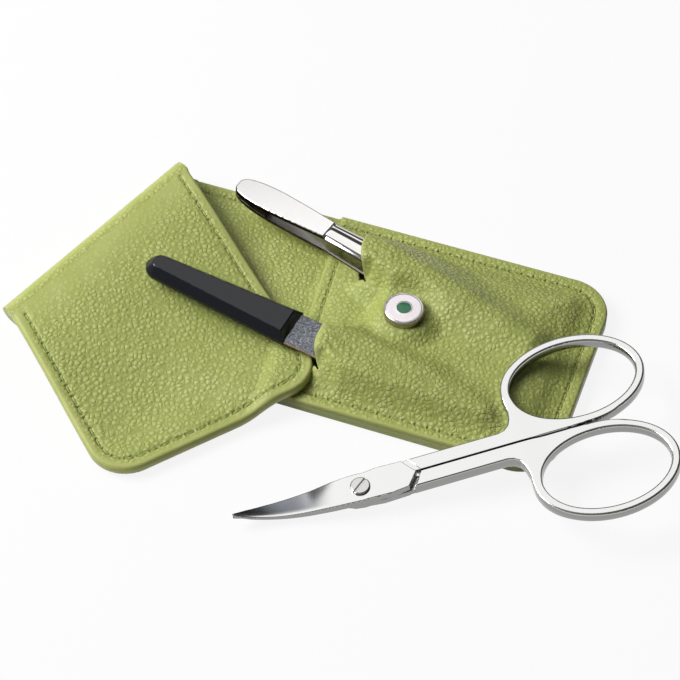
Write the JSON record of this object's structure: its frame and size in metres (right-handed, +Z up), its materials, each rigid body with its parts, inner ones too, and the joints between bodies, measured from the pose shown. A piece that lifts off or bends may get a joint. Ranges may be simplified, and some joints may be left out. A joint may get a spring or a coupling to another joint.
{
  "type": "manicure set case",
  "caption": "Green leather pocket case for a manicure set, laid open with its flap folded over, a button on the pocket, and a nail file, tweezers and nail scissors.",
  "frame": {"origin": "on the table, under the middle of the leather strip that carries the pocket", "axes": "+X along the strip to its closed end, +Y to the strip's far edge, +Z up"},
  "size_m": [0.146, 0.083, 0.0131],
  "materials": {
    "outer_leather": "green pebble-grained leather",
    "lining_leather": "smoother green lining leather with a slight sheen",
    "card": "grey-brown stiffener board",
    "nickel": "polished nickel plate",
    "steel": "satin steel",
    "polished_steel": "polished steel",
    "enamel": "green enamel",
    "magnet": "sintered magnet",
    "grit": "grey nail-file grit",
    "handle_plastic": "black moulded plastic"
  },
  "bodies": {
    "case": {"back_outer": "outer_leather", "back_stiffener": "card", "back_lining": "lining_leather", "fold_outer": "outer_leather", "fold_lining": "lining_leather", "pocket_panel": "outer_leather", "button_cap": "nickel", "button_enamel": "enamel", "button_magnet": "magnet", "button_rivet": "nickel", "button_washer": "steel", "button_backing": "card"},
    "flap": {"flap_outer": "outer_leather", "flap_lining": "lining_leather", "keeper_plate": "steel"},
    "file": {"file_blade": "steel", "file_grit_top": "grit", "file_grit_bottom": "grit", "file_handle": "handle_plastic"},
    "tweezers": {"tweezer_lower_arm": "polished_steel", "tweezer_spacer": "steel"},
    "tweezers_top": {"tweezer_upper_arm": "polished_steel"},
    "scissors": {"scissor_upper_half": "polished_steel", "scissor_screw": "nickel"},
    "scissors_near": {"scissor_lower_half": "polished_steel"}
  },
  "joints": [
    {"name": "flap_fold", "type": "hinge", "parent": "case", "child": "flap", "pos_m": [-0.0504, 0, 0.00465], "axis": [-0.3469, -0.9379, 0], "range_deg": [0, 178], "deforming": ["fold_outer", "fold_lining", "flap_outer", "flap_lining"]},
    {"name": "file_slide", "type": "slide", "parent": "case", "child": "file", "axis": [-0.988, 0.1301, 0.0837], "range_m": [0, 0.046]},
    {"name": "tweezers_slide", "type": "slide", "parent": "case", "child": "tweezers", "axis": [-0.9673, 0.2448, 0.0663], "range_m": [0, 0.048]},
    {"name": "tweezer_squeeze", "type": "hinge", "parent": "tweezers", "child": "tweezers_top", "pos_m": [-0.0205, 0.01887, 0.01005], "axis": [0.2453, 0.9694, 0], "range_deg": [0, 0.9], "stiffness_Nm_per_rad": 0.5},
    {"name": "scissors_lift", "type": "slide", "parent": "case", "child": "scissors", "axis": [0, 0, 1], "range_m": [0, 0.04]},
    {"name": "scissor_pivot", "type": "hinge", "parent": "scissors", "child": "scissors_near", "pos_m": [0.0216, -0.0421, 0.00275], "axis": [0.1096, 0.074, -0.9912], "range_deg": [0, 40]}
  ]
}
